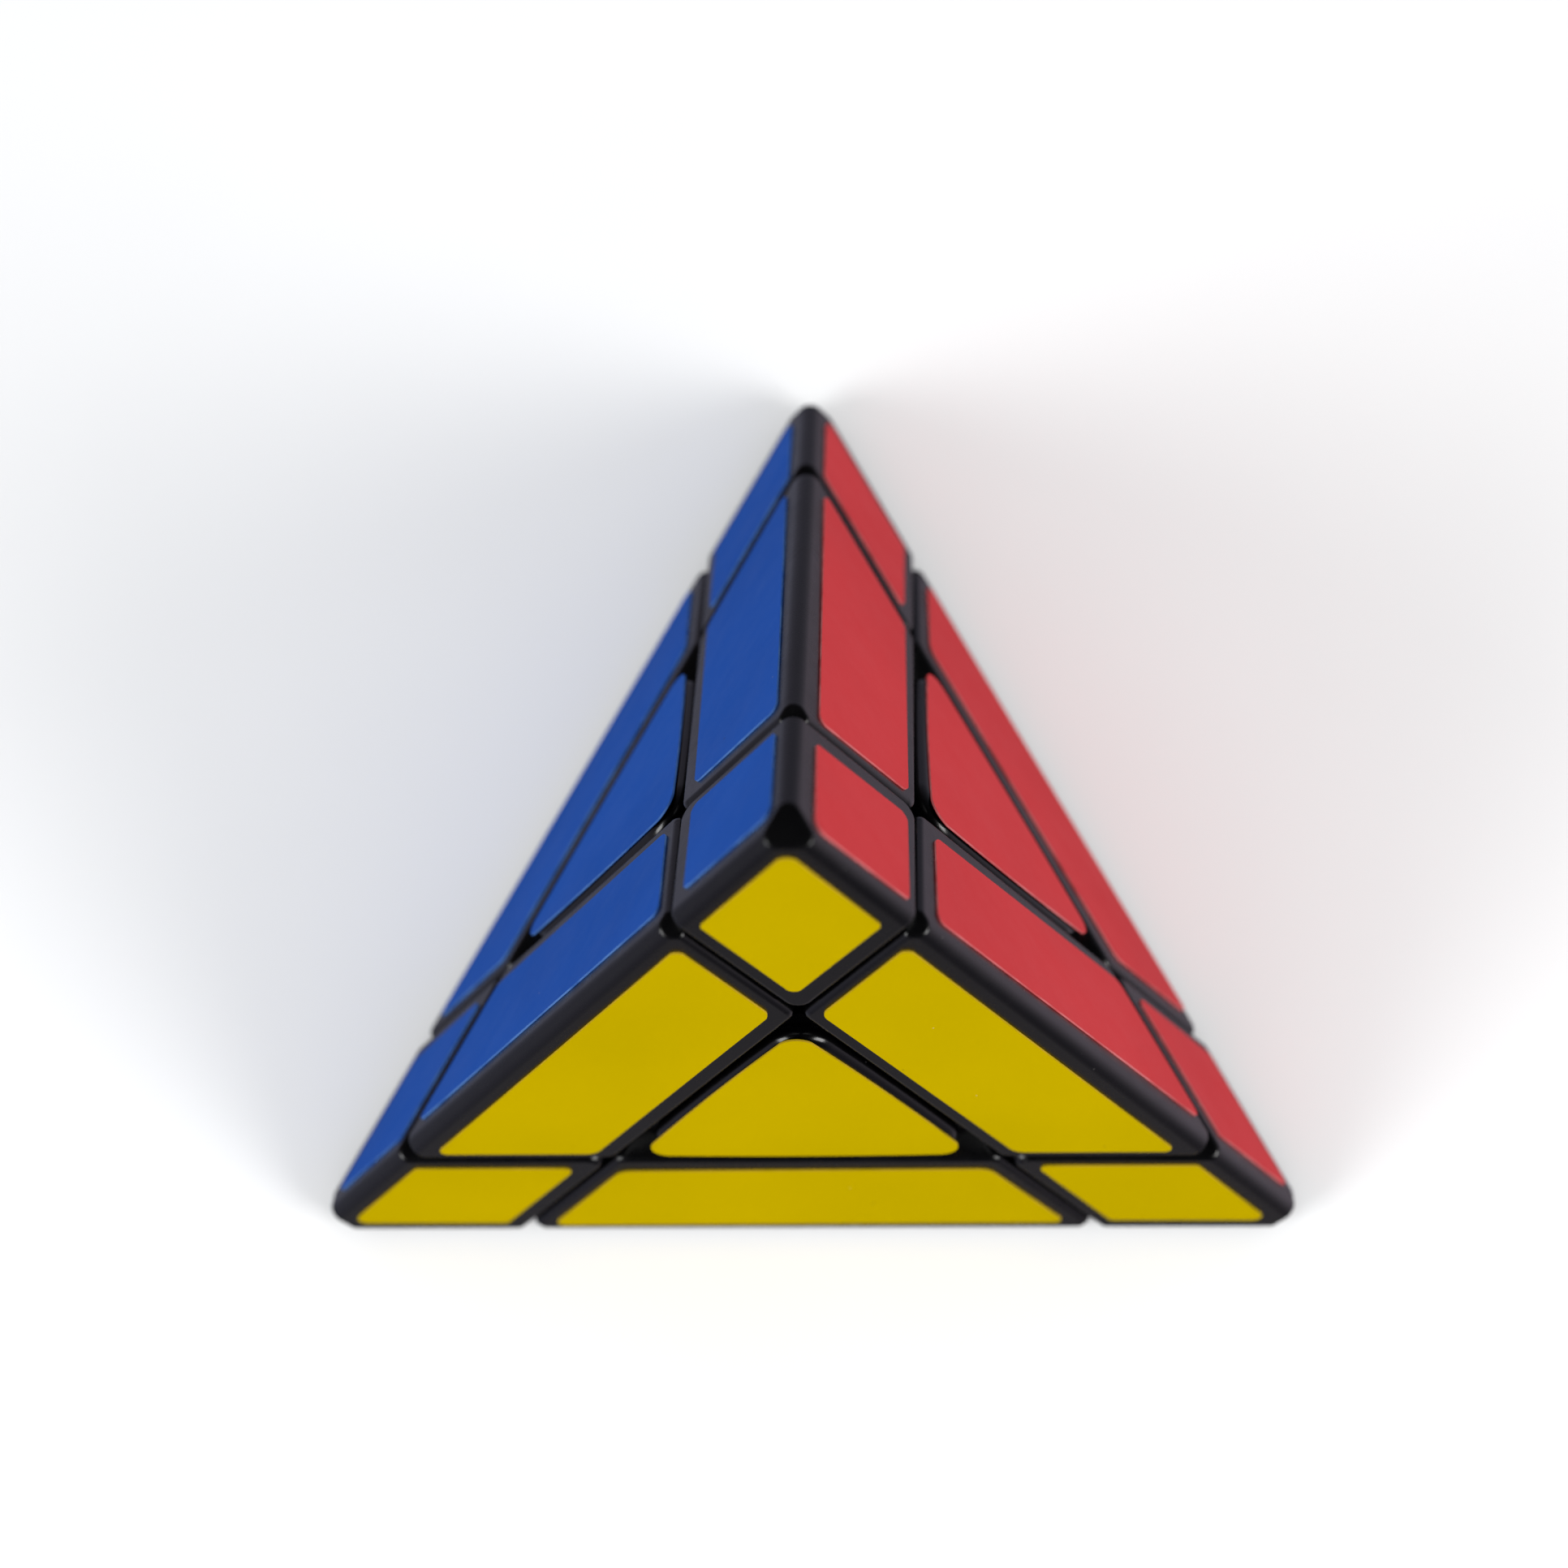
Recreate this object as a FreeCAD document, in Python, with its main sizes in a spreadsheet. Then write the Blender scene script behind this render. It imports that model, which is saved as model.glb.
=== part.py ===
import FreeCAD, Part
import math
import os
import Sketcher
from FreeCAD import Placement, Rotation, Vector

# Face-turning tetrahedral puzzle: four corners, six edges and four face
# centres held on a ball core by sprung tension screws. Every sub-part is
# modelled about the core's centre with its own radial axis as +Z, then placed.
# Lengths are in millimetres. The frame's origin is the middle of the face the
# puzzle stands on, with +Z up through the opposite tip. The yellow face looks
# to the front (-Y), blue to the rear left, red to the rear right, green down.

doc = FreeCAD.newDocument("PyramidTwistyPuzzle")

# ---------------------------------------------------------------- dimensions
# alias, value, note
DIMENSIONS = [
    # whole puzzle and its cuts
    ("edge_len", 98, "sharp edge of the tetrahedron over the films"),
    ("film", 0.2, "thickness of a colour film"),
    ("cut_dist", 3.2, "outer cut planes, from the core centre"),
    ("foot_dist", 1.0, "inner cut planes under the step sphere"),
    ("ball_rad", 9.8, "core ball"),
    ("step_rad", 17.0, "sphere where the cut planes step"),
    ("gap_side", 0.15, "clearance of each side at a cut plane"),
    ("gap_centre", 0.42, "clearance of a centre at a cut plane"),
    ("gap_ball", 0.12, "clearance of each side at a sphere"),
    ("blank_rad", 90, "radius of the slabs that cut the pieces"),
    # shells, feet and plugs
    ("wall", 1.8, "wall of the hollow shells"),
    ("seam_corner", 24.0, "seam of corner shell and foot, on the axis"),
    ("seam_edge", 19.0, "seam of edge shell and foot, on the axis"),
    ("plug_corner", 3.0, "height of the corner plug"),
    ("plug_edge", 1.8, "height of the edge plug"),
    ("plug_root", 0.5, "depth of a plug's root below the seam"),
    ("plug_fit", 0.05, "clearance round a plug"),
    # rounds and flats of the pieces
    ("rad_edge_rim", 1.15, "round on the long rim of an edge piece"),
    ("rad_corner_rim", 1.15, "round on the rims of a corner piece"),
    ("tip_cut", 4.4, "flat on a corner's tip, below the sharp point of the plastic"),
    ("point_cut", 2.55, "flat on each rim end of an edge piece, below its sharp point"),
    ("rad_tip", 0.35, "round about those flats"),
    ("rad_corner_post", 1.5, "round between two cut faces of a corner"),
    ("rad_edge_post", 1.2, "round between two cut faces of an edge"),
    ("rad_lip", 0.6, "round between outer and cut faces"),
    ("rad_centre_post", 3.6, "round on the upright corners of a centre"),
    ("rad_centre_lip", 0.95, "round on the top rim of a centre"),
    ("rad_base_post", 1.4, "round on the upright corners of a centre base"),
    # centres
    ("bow_rad", 340, "bow radius of a centre's three sides"),
    ("cap_seat", 17.8, "plane between centre cap and centre base"),
    ("ring_out", 7.5, "snap ring under the cap, outside radius"),
    ("ring_inn", 6.6, "snap ring under the cap, inside radius"),
    ("ring_deep", 0.8, "snap ring depth"),
    ("ring_fit", 0.05, "clearance round the snap ring"),
    ("stem_rad", 4.3, "stem of a centre base"),
    ("well_rad", 3.1, "spring well in the stem"),
    ("well_floor", 11.4, "floor of the spring well"),
    # screw, washer, spring and core bores
    ("screw_rad", 1.25, "tension screw shank"),
    ("screw_fit", 0.06, "running clearance round the shank"),
    ("screw_tip", 3.0, "tip of the screw from the core centre"),
    ("tip_taper_in", 0.5, "radius lost by the shank at its tip"),
    ("tip_taper_tall", 0.6, "height of the taper at the tip"),
    ("head_rad", 2.5, "screw head radius"),
    ("head_seat", 15.92, "underside of the screw head"),
    ("head_tall", 1.2, "height of the screw head"),
    ("head_bevel", 0.45, "bevel on the screw head"),
    ("slot_wide", 0.55, "width of the cross recess"),
    ("slot_long", 3.2, "length of the cross recess"),
    ("slot_deep", 0.7, "depth of the cross recess"),
    ("bore_tip", 2.2, "end of the core bore"),
    ("washer_rad", 2.8, "washer outside radius"),
    ("washer_bore", 1.35, "washer bore radius"),
    ("washer_seat", 15.5, "underside of the washer"),
    ("washer_thick", 0.4, "washer thickness"),
    ("coil_rad", 2.15, "mean radius of the spring coil"),
    ("wire_rad", 0.25, "spring wire radius"),
    ("coil_pitch", 0.85, "pitch of the spring coil"),
    ("coil_gap", 0.05, "clearance at each end of the spring"),
    # films
    ("film_rim", 3.1, "corner film to the tetrahedron's edge"),
    ("film_inn", 16.0, "corner film's far sides"),
    ("strip_rim", 3.05, "edge film to the tetrahedron's edge"),
    ("strip_inn", 15.8, "edge film's long inner side"),
    ("strip_end", 19.8, "edge film's ends to the adjacent edges"),
    ("tri_inn", 19.25, "centre film's sides to the edges"),
    ("rad_film_tip", 0.95, "corner film, round nearest the tip"),
    ("rad_film_side", 0.7, "corner film, other rounds"),
    ("rad_strip_out", 0.7, "edge film, rounds at the rim"),
    ("rad_strip_inn", 1.7, "edge film, rounds at the centre"),
    ("rad_tri", 1.75, "centre film rounds"),
]

# The films are laid by hand, so each sits a little off and turned. The base
# face is laid true. Columns: shift across, shift up (both become cells of the
# sheet), turn in degrees.
LAID = {
    "yellow": {
        "tip_corner": (-0.23, 0.44, -0.1),
        "left_corner": (-0.15, 0.27, -0.1),
        "right_corner": (-0.38, 0.59, -0.3),
        "base_edge": (-0.29, -0.07, 0.5),
        "first_edge": (-0.38, 0.11, 0.1),
        "second_edge": (-0.08, -0.02, 0.1),
        "centre": (-0.27, -0.02, 0.4),
    },
    "blue": {
        "tip_corner": (-0.36, 0.23, 0),
        "left_corner": (0.26, 0.39, 0.1),
        "right_corner": (0.06, 0.45, 0.8),
        "base_edge": (0.07, -0.28, 0.8),
        "first_edge": (-0.05, -0.04, 0.5),
        "second_edge": (-0.19, -0.23, 0.8),
        "centre": (-0.02, 0.07, 0.6),
    },
    "red": {
        "tip_corner": (-0.75, 0.49, 0.9),
        "left_corner": (0.05, -0.1, -0.1),
        "right_corner": (-0.12, 0.45, 0),
        "base_edge": (-0.12, -0.56, 1),
        "first_edge": (-0.45, 0.04, 0.7),
        "second_edge": (-0.35, -0.43, 0.9),
        "centre": (-0.3, -0.06, 0.9),
    },
}


def fill_sheet():
    rows = list(DIMENSIONS)
    for face, spots in LAID.items():
        for spot, (across, up, _turn) in spots.items():
            note = f"{face} film, {spot.replace('_', ' ')}: shift "
            rows.append((f"{face}_{spot}_across", across, note + "across as laid"))
            rows.append((f"{face}_{spot}_up", up, note + "up as laid"))
    out = doc.addObject("Spreadsheet::Sheet", "Params")
    for row, (alias, value, note) in enumerate(rows, start=1):
        out.set(f"A{row}", note)
        out.set(f"B{row}", str(value))
        out.setAlias(f"B{row}", alias)
    doc.recompute()
    return out


sheet = fill_sheet()


class Linear:
    """A length that is a linear mix of sheet cells: gives its value and its expression."""

    def __init__(self, terms=None, const=0.0):
        self.terms = dict(terms or {})
        self.const = const

    def __add__(self, other):
        other = other if isinstance(other, Linear) else Linear(const=other)
        total = dict(self.terms)
        for alias, factor in other.terms.items():
            total[alias] = total.get(alias, 0.0) + factor
        return Linear(total, self.const + other.const)

    def __mul__(self, scale):
        terms = {alias: factor * scale for alias, factor in self.terms.items()}
        return Linear(terms, self.const * scale)

    def __neg__(self):
        return self * -1.0

    def __sub__(self, other):
        return self + (-other)

    @property
    def val(self):
        return self.const + sum(
            factor * float(sheet.get(sheet.getCellFromAlias(alias)))
            for alias, factor in self.terms.items()
        )

    @property
    def expr(self):
        parts = [
            f"({factor:.9f}) * Params.{alias}"
            for alias, factor in self.terms.items()
            if abs(factor) > 1e-12
        ]
        if abs(self.const) > 1e-12 or not parts:
            parts.append(f"({self.const:.9f})")
        return " + ".join(parts)


def dim(alias):
    return Linear({alias: 1.0})


ZERO = Linear()
FAR = Linear(const=75.0)  # beyond every piece
RIM = dim("edge_len") * (1 / (2 * math.sqrt(6)))  # core centre to a face, over the films
SKIN = RIM - dim("film")  # core centre to the plastic's face
CUT_OUT = dim("cut_dist") + dim("gap_side")
CUT_INN = dim("cut_dist") - dim("gap_side")
FOOT_OUT = dim("foot_dist") + dim("gap_side")
FOOT_INN = dim("foot_dist") - dim("gap_side")
BALL = dim("ball_rad") + dim("gap_ball")
STEP_IN = dim("step_rad") - dim("gap_ball")
STEP_OUT = dim("step_rad") + dim("gap_ball")
TIP = SKIN * 3.0 - dim("tip_cut")  # core centre to the flat on a corner's tip
POINT = SKIN * 2.0 + CUT_INN - dim("point_cut")  # the same for an edge piece's rim end

OVERRUN = 0.5  # how far a cutting tool passes the face it opens
LONG_OVERRUN = 1.0

# ------------------------------------------------------------------- frames
ORIGIN = Vector(0, 0, 0)
X_AXIS = Vector(1, 0, 0)
Y_AXIS = Vector(0, 1, 0)
UP = Vector(0, 0, 1)

# A face's normal against the line through a tip or the opposite face's middle
TIP_COS = 1 / 3
TIP_SIN = math.sqrt(8) / 3
# A face's normal against the line through the middle of an edge
EDGE_COS = 1 / math.sqrt(3)
EDGE_SIN = math.sqrt(2 / 3)

NORMALS = {
    "green": Vector(0, 0, -1),
    "yellow": Vector(0, -TIP_SIN, TIP_COS),
    "blue": Vector(-math.sqrt(2 / 3), math.sqrt(2) / 3, TIP_COS),
    "red": Vector(math.sqrt(2 / 3), math.sqrt(2) / 3, TIP_COS),
}


def frame(z_dir, toward):
    """Rotation whose Z is z_dir and whose Y leans toward the given direction."""
    z = Vector(z_dir).normalize()
    y = toward - z * toward.dot(z)
    y.normalize()
    x = y.cross(z)
    matrix = FreeCAD.Matrix(
        x.x, y.x, z.x, 0,
        x.y, y.y, z.y, 0,
        x.z, y.z, z.z, 0,
        0, 0, 0, 1,
    )
    return Placement(matrix).Rotation


def three_round(z_part):
    """Three unit normals round Z, the first over +Y, whose Z part is z_part."""
    flat = math.sqrt(1 - z_part * z_part)
    angles = [math.radians(90 + 120 * k) for k in range(3)]
    return [Vector(flat * math.cos(a), flat * math.sin(a), z_part) for a in angles]


# ------------------------------------------------------------- part helpers
def bind(obj, **lengths):
    """Drives properties of an object by the sheet."""
    for prop, length in lengths.items():
        obj.setExpression(prop, length.expr)


def bind_base(obj, *steps):
    """Drives an object's position: the sum of steps, each (direction, distance)."""
    for axis in "xyz":
        at = sum((dist * getattr(direction, axis) for direction, dist in steps), ZERO)
        if at.terms or at.const:
            obj.setExpression("Placement.Base." + axis, at.expr)


def add(kind, tag, **lengths):
    obj = doc.addObject("Part::" + kind, tag)
    bind(obj, **lengths)
    return obj


def rod(tag, radius, low, high, direction=UP):
    """Cylinder along a line through the core's centre."""
    obj = add("Cylinder", tag, Radius=radius, Height=high - low)
    obj.Placement = Placement(ORIGIN, Rotation(UP, direction))
    bind_base(obj, (direction, low))
    return obj


def slab(tag, normal, low, high):
    """The space between two planes square to normal, as a wide disc."""
    return rod(tag, dim("blank_rad"), low, high, normal)


def slabs(tag, normals, low, high):
    return [slab(f"{tag}{k}", normal, low, high) for k, normal in enumerate(normals)]


def ball(tag, radius):
    return add("Sphere", tag, Radius=radius)


def common(tag, *shapes):
    obj = add("MultiCommon", tag)
    obj.Shapes = list(shapes)
    return obj


def fuse(tag, *shapes):
    obj = add("MultiFuse", tag)
    obj.Shapes = list(shapes)
    obj.Refine = True
    return obj


def cut(tag, base, tool):
    obj = add("Cut", tag)
    obj.Base = base
    obj.Tool = tool
    return obj


def body_on(tag, base):
    """A body that carries on from a boolean, so that its rounds are bound features."""
    doc.recompute()
    body = doc.addObject("PartDesign::Body", tag)
    body.BaseFeature = base
    doc.recompute()
    return body


def round_edges(body, tag, alias, pick):
    """Rounds every edge of the body's tip that pick() accepts, with a bound radius."""
    tip = body.Tip
    names = [f"Edge{i}" for i, edge in enumerate(tip.Shape.Edges, start=1) if pick(edge)]
    if not names:
        raise RuntimeError(f"{tag}: no edge to round")
    fillet = body.newObject("PartDesign::Fillet", tag)
    fillet.Base = (tip, names)
    bind(fillet, Radius=dim(alias))
    body.Tip = fillet
    doc.recompute()


def on_plane(edge, normal, dist):
    """True where five points spread along the edge lie in the plane normal.x = dist."""
    start, span = edge.FirstParameter, edge.LastParameter - edge.FirstParameter
    return all(
        abs(normal.dot(edge.valueAt(start + k * span / 4)) - dist) < 1e-4 for k in range(5)
    )


def planes_met(edge, normals, dist):
    """How many of the planes at this distance the edge lies in."""
    return sum(on_plane(edge, normal, dist) for normal in normals)


def end_points(edge):
    """The two ends of an edge, or None for a closed edge."""
    if len(edge.Vertexes) != 2:
        return None
    return edge.Vertexes[0].Point, edge.Vertexes[1].Point


def is_vertical(edge):
    ends = end_points(edge)
    if ends is None:
        return False
    first, last = ends
    return abs(first.x - last.x) < 1e-6 and abs(first.y - last.y) < 1e-6


parts = []


def finish(obj, label, rotation, *steps):
    """Labels a finished part, turns it, and seats it about the core's centre."""
    obj.Label = label
    obj.Placement = Placement(ORIGIN, rotation)
    bind_base(obj, (UP, RIM), *steps)
    parts.append(obj)


# ------------------------------------------------------------------ corners
# Own frame: +Z to the tip, the three outer faces round it.
CORNER_FACES = three_round(TIP_COS)


def corner_blank(tag):
    """Rhombohedron between three outer faces and three cut planes, tip cut flat, rounded."""
    raw = common(
        tag + "_raw",
        slab(tag + "_tip", UP, ZERO, TIP),
        *slabs(tag + "_s", CORNER_FACES, CUT_OUT, SKIN),
    )
    body = body_on(tag + "_blank", raw)
    inner, outer, top = CUT_OUT.val, SKIN.val, TIP.val

    def is_post(edge):
        return planes_met(edge, CORNER_FACES, inner) == 2

    def is_rim(edge):
        return planes_met(edge, CORNER_FACES, outer) == 2

    def is_lip(edge):
        return (
            planes_met(edge, CORNER_FACES, inner) == 1
            and planes_met(edge, CORNER_FACES, outer) == 1
        )

    round_edges(body, tag + "_post", "rad_corner_post", is_post)
    round_edges(body, tag + "_rim", "rad_corner_rim", is_rim)
    round_edges(body, tag + "_flat", "rad_tip", lambda edge: on_plane(edge, UP, top))
    round_edges(body, tag + "_lip", "rad_lip", is_lip)
    return body


def corner_shell(tag, blank):
    """Hollow outer shell above the seam."""
    seam, wall = dim("seam_corner"), dim("wall")
    upper = common(tag + "_upper", blank, slab(tag + "_above", UP, seam, FAR))
    room = common(
        tag + "_room",
        slab(tag + "_rz", UP, seam - LONG_OVERRUN, TIP - wall),
        *slabs(tag + "_r", CORNER_FACES, CUT_OUT + wall, SKIN - wall),
    )
    return cut(tag + "_shell", upper, room)


def corner_plug(tag):
    """Triangular plug that stands on the foot and fills the shell's opening."""
    seam, root = dim("seam_corner"), dim("plug_root")
    inradius = (seam * TIP_COS - CUT_OUT - dim("wall")) * (1 / TIP_SIN) - dim("plug_fit")
    plug = add(
        "Prism", tag + "_plug", Circumradius=inradius * 2.0, Height=dim("plug_corner") + root
    )
    plug.Polygon = 3
    plug.Placement = Placement(ORIGIN, Rotation(UP, 90))
    bind_base(plug, (UP, seam - root))
    return plug


def corner_foot(tag, blank):
    """Block below the seam, with a tuck under the neighbouring edges in the step sphere."""
    tuck = common(
        tag + "_tuck",
        ball(tag + "_step", STEP_IN),
        *slabs(tag + "_f", CORNER_FACES, FOOT_OUT, FAR),
    )
    below = slab(tag + "_below", UP, ZERO, dim("seam_corner"))
    lower = common(tag + "_lower", blank, below)
    stack = fuse(tag + "_stack", tuck, lower, corner_plug(tag))
    return cut(tag + "_foot", stack, ball(tag + "_ball", BALL))


def make_corner(label, rotation):
    tag = "corner_" + label
    blank = corner_blank(tag)
    finish(corner_shell(tag, blank), f"{label}_corner_shell", rotation)
    finish(corner_foot(tag, blank), f"{label}_corner_foot", rotation)


# -------------------------------------------------------------------- edges
# Own frame: +Z out through the middle of the tetrahedron's edge, which runs along X.
EDGE_FACES = [Vector(0, side * EDGE_SIN, EDGE_COS) for side in (1, -1)]  # outer faces
EDGE_ENDS = [Vector(side * EDGE_SIN, 0, -EDGE_COS) for side in (1, -1)]  # slanted ends
EDGE_TIPS = [Vector(side * EDGE_SIN, 0, EDGE_COS) for side in (1, -1)]  # toward the tips


def edge_blank(tag):
    """Rhombic bar under one edge of the tetrahedron, with slanted ends whose points are flat."""
    raw = common(
        tag + "_raw",
        *slabs(tag + "_j", EDGE_FACES, CUT_OUT, SKIN),
        *slabs(tag + "_l", EDGE_ENDS, -FAR, CUT_INN),
        *slabs(tag + "_p", EDGE_TIPS, -FAR, POINT),
    )
    body = body_on(tag + "_blank", raw)
    inner, outer, end, point = CUT_OUT.val, SKIN.val, CUT_INN.val, POINT.val

    def met(edge):
        """How many outer faces, cut sides and slanted ends the edge lies in."""
        return (
            planes_met(edge, EDGE_FACES, outer),
            planes_met(edge, EDGE_FACES, inner),
            planes_met(edge, EDGE_ENDS, end),
        )

    def is_lip(edge):
        faces, sides, ends = met(edge)
        return faces == 1 and (sides == 1 or ends == 1)

    def is_flat(edge):
        return planes_met(edge, EDGE_TIPS, point) > 0

    round_edges(body, tag + "_post", "rad_edge_post", lambda edge: met(edge) == (0, 1, 1))
    round_edges(body, tag + "_rim", "rad_edge_rim", lambda edge: met(edge)[0] == 2)
    round_edges(body, tag + "_lip", "rad_lip", is_lip)
    round_edges(body, tag + "_flat", "rad_tip", is_flat)
    return body


def edge_shell(tag, blank):
    """Hollow outer shell above the seam."""
    seam, wall = dim("seam_edge"), dim("wall")
    upper = common(tag + "_upper", blank, slab(tag + "_above", UP, seam, FAR))
    room = common(
        tag + "_room",
        slab(tag + "_rz", UP, seam - LONG_OVERRUN, FAR),
        *slabs(tag + "_rj", EDGE_FACES, CUT_OUT + wall, SKIN - wall),
        *slabs(tag + "_rl", EDGE_ENDS, -FAR, CUT_INN - wall),
    )
    return cut(tag + "_shell", upper, room)


def edge_plug(tag):
    """Rectangular plug that stands on the foot and fills the shell's opening."""
    seam, wall, root = dim("seam_edge"), dim("wall"), dim("plug_root")
    at_seam = seam * EDGE_COS
    half_x = (at_seam + CUT_INN - wall) * (1 / EDGE_SIN) - dim("plug_fit")
    half_y = (at_seam - CUT_OUT - wall) * (1 / EDGE_SIN) - dim("plug_fit")
    plug = add(
        "Box",
        tag + "_plug",
        Length=half_x * 2.0,
        Width=half_y * 2.0,
        Height=dim("plug_edge") + root,
    )
    bind_base(plug, (X_AXIS, -half_x), (Y_AXIS, -half_y), (UP, seam - root))
    return plug


def edge_foot(tag, blank):
    """Block below the seam: a tuck in the step sphere, a neck, and lobes outside the sphere."""
    tuck = common(
        tag + "_tuck",
        ball(tag + "_step", STEP_IN),
        *slabs(tag + "_fj", EDGE_FACES, FOOT_OUT, FAR),
        *slabs(tag + "_fl", EDGE_ENDS, -FAR, FOOT_INN),
    )
    lower = common(tag + "_lower", blank, slab(tag + "_below", UP, ZERO, dim("seam_edge")))
    neck = common(tag + "_neck", lower, *slabs(tag + "_nl", EDGE_ENDS, -FAR, FOOT_INN))
    lobes = cut(tag + "_lobes", lower, ball(tag + "_stepout", STEP_OUT))
    stack = fuse(tag + "_stack", tuck, neck, lobes, edge_plug(tag))
    return cut(tag + "_foot", stack, ball(tag + "_ball", BALL))


def make_edge(label, rotation):
    tag = "edge_" + label
    blank = edge_blank(tag)
    finish(edge_shell(tag, blank), f"{label}_edge_shell", rotation)
    finish(edge_foot(tag, blank), f"{label}_edge_foot", rotation)


# ------------------------------------------------------------------ centres
# Own frame: +Z out through the face, the three leaning sides round it.
CENTRE_SIDES = three_round(-TIP_COS)
CENTRE_CUT = dim("cut_dist") - dim("gap_centre")

CAP_BLANK_DEEP = 3.0  # cap blank below the cap seat
RING_ROOT = 0.3  # snap ring's overlap into the cap
GROOVE_CORE_BELOW = 0.6  # the groove's inner rod passes its outer rod by more
GROOVE_CORE_ABOVE = 0.7  # than the clearance, below and above
HOLE_START = Linear(const=5.0)  # screw hole starts inside the core ball


def centre_reach(z):
    """Distance from the axis to the middle of a centre's leaning side, at height z."""
    return (CENTRE_CUT + z * TIP_COS) * (1 / TIP_SIN)


def bowed_wedge(tag, low, high):
    """Three-sided block whose sides lean with the cut planes and bow slightly outwards."""
    bow = dim("bow_rad")
    cones = []
    for k, normal in enumerate(CENTRE_SIDES):
        cone = add(
            "Cone",
            f"{tag}_bow{k}",
            Radius1=bow,
            Radius2=bow + centre_reach(high) - centre_reach(low),
            Height=high - low,
        )
        outward = Vector(normal.x, normal.y, 0).normalize()
        bind_base(cone, (outward, centre_reach(low) - bow), (UP, low))
        cones.append(cone)
    return common(tag + "_wedge", *cones)


def is_leaning_post(edge):
    """True for the leaning edge between two sides of a centre."""
    ends = end_points(edge)
    if ends is None:
        return False
    first, last = ends
    spread = math.hypot(first.x, first.y) - math.hypot(last.x, last.y)
    return abs(first.z - last.z) > 2.0 and abs(spread) > 0.5


def centre_cap(tag, blank):
    """The whole triangular top, with a snap ring underneath."""
    seat, ring_low = dim("cap_seat"), dim("cap_seat") - dim("ring_deep")
    lid = common(tag + "_lid", blank, slab(tag + "_above", UP, seat, FAR))
    ring = cut(
        tag + "_ring",
        rod(tag + "_ro", dim("ring_out"), ring_low, seat + RING_ROOT),
        rod(tag + "_ri", dim("ring_inn"), ring_low - OVERRUN, seat + OVERRUN),
    )
    return fuse(tag + "_cap", lid, ring)


def centre_base(tag, blank):
    """Plate over the edge feet, with a hollow stem down to the core."""
    seat, fit = dim("cap_seat"), dim("ring_fit")
    groove_low = seat - dim("ring_deep")
    plate = cut(
        tag + "_plate",
        common(tag + "_base_raw", blank, slab(tag + "_below", UP, ZERO, seat)),
        ball(tag + "_stepout", STEP_OUT),
    )
    stem = rod(tag + "_stem", dim("stem_rad"), ZERO, seat)
    solid = fuse(tag + "_solid", plate, stem)
    groove = cut(
        tag + "_groove",
        rod(tag + "_go", dim("ring_out") + fit, groove_low - fit, seat + OVERRUN),
        rod(
            tag + "_gi",
            dim("ring_inn") - fit,
            groove_low - GROOVE_CORE_BELOW,
            seat + GROOVE_CORE_ABOVE,
        ),
    )
    floor, hole_rad = dim("well_floor"), dim("screw_rad") + dim("screw_fit")
    tools = fuse(
        tag + "_tools",
        groove,
        rod(tag + "_well", dim("well_rad"), floor, seat + OVERRUN),
        rod(tag + "_hole", hole_rad, HOLE_START, floor + OVERRUN),
        ball(tag + "_ball", BALL),
    )
    return cut(tag + "_base", solid, tools)


def make_centre(label, rotation):
    tag = "centre_" + label
    seat, top = dim("cap_seat"), SKIN.val
    cap_blank = body_on(tag + "_blank", bowed_wedge(tag + "_top", seat - CAP_BLANK_DEEP, SKIN))
    round_edges(cap_blank, tag + "_post", "rad_centre_post", is_leaning_post)
    round_edges(
        cap_blank, tag + "_lip", "rad_centre_lip", lambda edge: on_plane(edge, UP, top)
    )
    base_blank = body_on(
        tag + "_under", bowed_wedge(tag + "_low", CUT_OUT, seat + LONG_OVERRUN)
    )
    round_edges(base_blank, tag + "_post2", "rad_base_post", is_leaning_post)
    finish(centre_cap(tag, cap_blank), f"{label}_centre_cap", rotation)
    finish(centre_base(tag, base_blank), f"{label}_centre_base", rotation)


# ------------------------------------------------------------------ sketches
def new_sketch(body, tag, role):
    """An empty sketch on one of the body's origin planes."""
    plane = next(f for f in body.Origin.OriginFeatures if f.Role == role)
    sketch = body.newObject("Sketcher::SketchObject", tag)
    sketch.AttachmentSupport = [(plane, "")]
    sketch.MapMode = "FlatFace"
    return sketch


def hold_point(sketch, geometry, point, kind, length):
    """Bound distance of a sketch point from the sketch's origin."""
    i = sketch.addConstraint(
        Sketcher.Constraint(kind, -1, 1, geometry, point, length.val)
    )
    sketch.setExpression(f"Constraints[{i}]", length.expr)


def polygon_sketch(body, tag, role, loops):
    """A sketch of closed polygons; each vertex is bound in both directions."""
    sketch = new_sketch(body, tag, role)
    for points in loops:
        first = sketch.GeometryCount
        corners = [Vector(x.val, y.val, 0) for x, y in points]
        count = len(corners)
        for k in range(count):
            line = Part.LineSegment(corners[k], corners[(k + 1) % count])
            sketch.addGeometry(line, False)
        for k in range(count):
            sketch.addConstraint(
                Sketcher.Constraint("Coincident", first + k, 2, first + (k + 1) % count, 1)
            )
        for k, (x, y) in enumerate(points):
            # a vertex at zero distance is held on the axis (-2 is Y, -1 is X)
            for kind, length, axis in (("DistanceX", x, -2), ("DistanceY", y, -1)):
                if abs(length.val) < 1e-9:
                    sketch.addConstraint(
                        Sketcher.Constraint("PointOnObject", first + k, 1, axis)
                    )
                else:
                    hold_point(sketch, first + k, 1, kind, length)
    return sketch


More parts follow.
